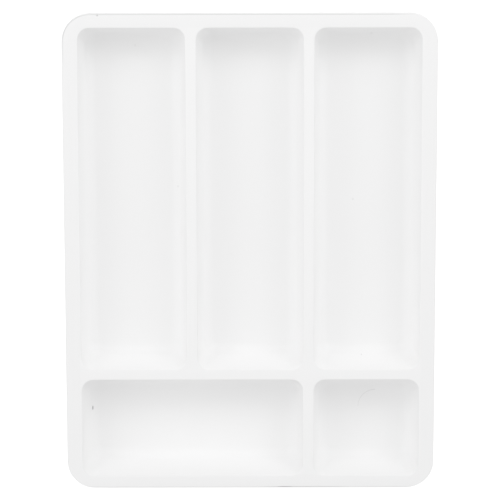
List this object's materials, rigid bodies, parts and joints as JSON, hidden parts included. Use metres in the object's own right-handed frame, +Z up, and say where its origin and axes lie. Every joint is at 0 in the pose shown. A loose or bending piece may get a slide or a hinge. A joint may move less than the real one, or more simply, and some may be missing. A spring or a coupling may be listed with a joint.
{
  "type": "cutlery tray",
  "caption": "White moulded plastic cutlery tray for a kitchen drawer: long compartments side by side, a wide one and a small one across the front, rounded lips and a flat rim.",
  "frame": {"origin": "centre of the outline, in the plane of the undersides, where the tray rests", "axes": "+X across the three long compartments, towards the small one; +Y along them, away from the short ones; +Z up out of the compartments"},
  "size_m": [0.308, 0.4, 0.04],
  "materials": {
    "white_plastic": "satin, smooth moulded white"
  },
  "bodies": {
    "root": {"rim_flange": "white_plastic", "rim_skirt": "white_plastic", "cross_divider_top": "white_plastic", "left_divider_top": "white_plastic", "right_divider_top": "white_plastic", "lower_divider_top": "white_plastic", "long_compartment_left": "white_plastic", "long_compartment_middle": "white_plastic", "long_compartment_right": "white_plastic", "wide_compartment": "white_plastic", "small_compartment": "white_plastic"}
  },
  "joints": []
}
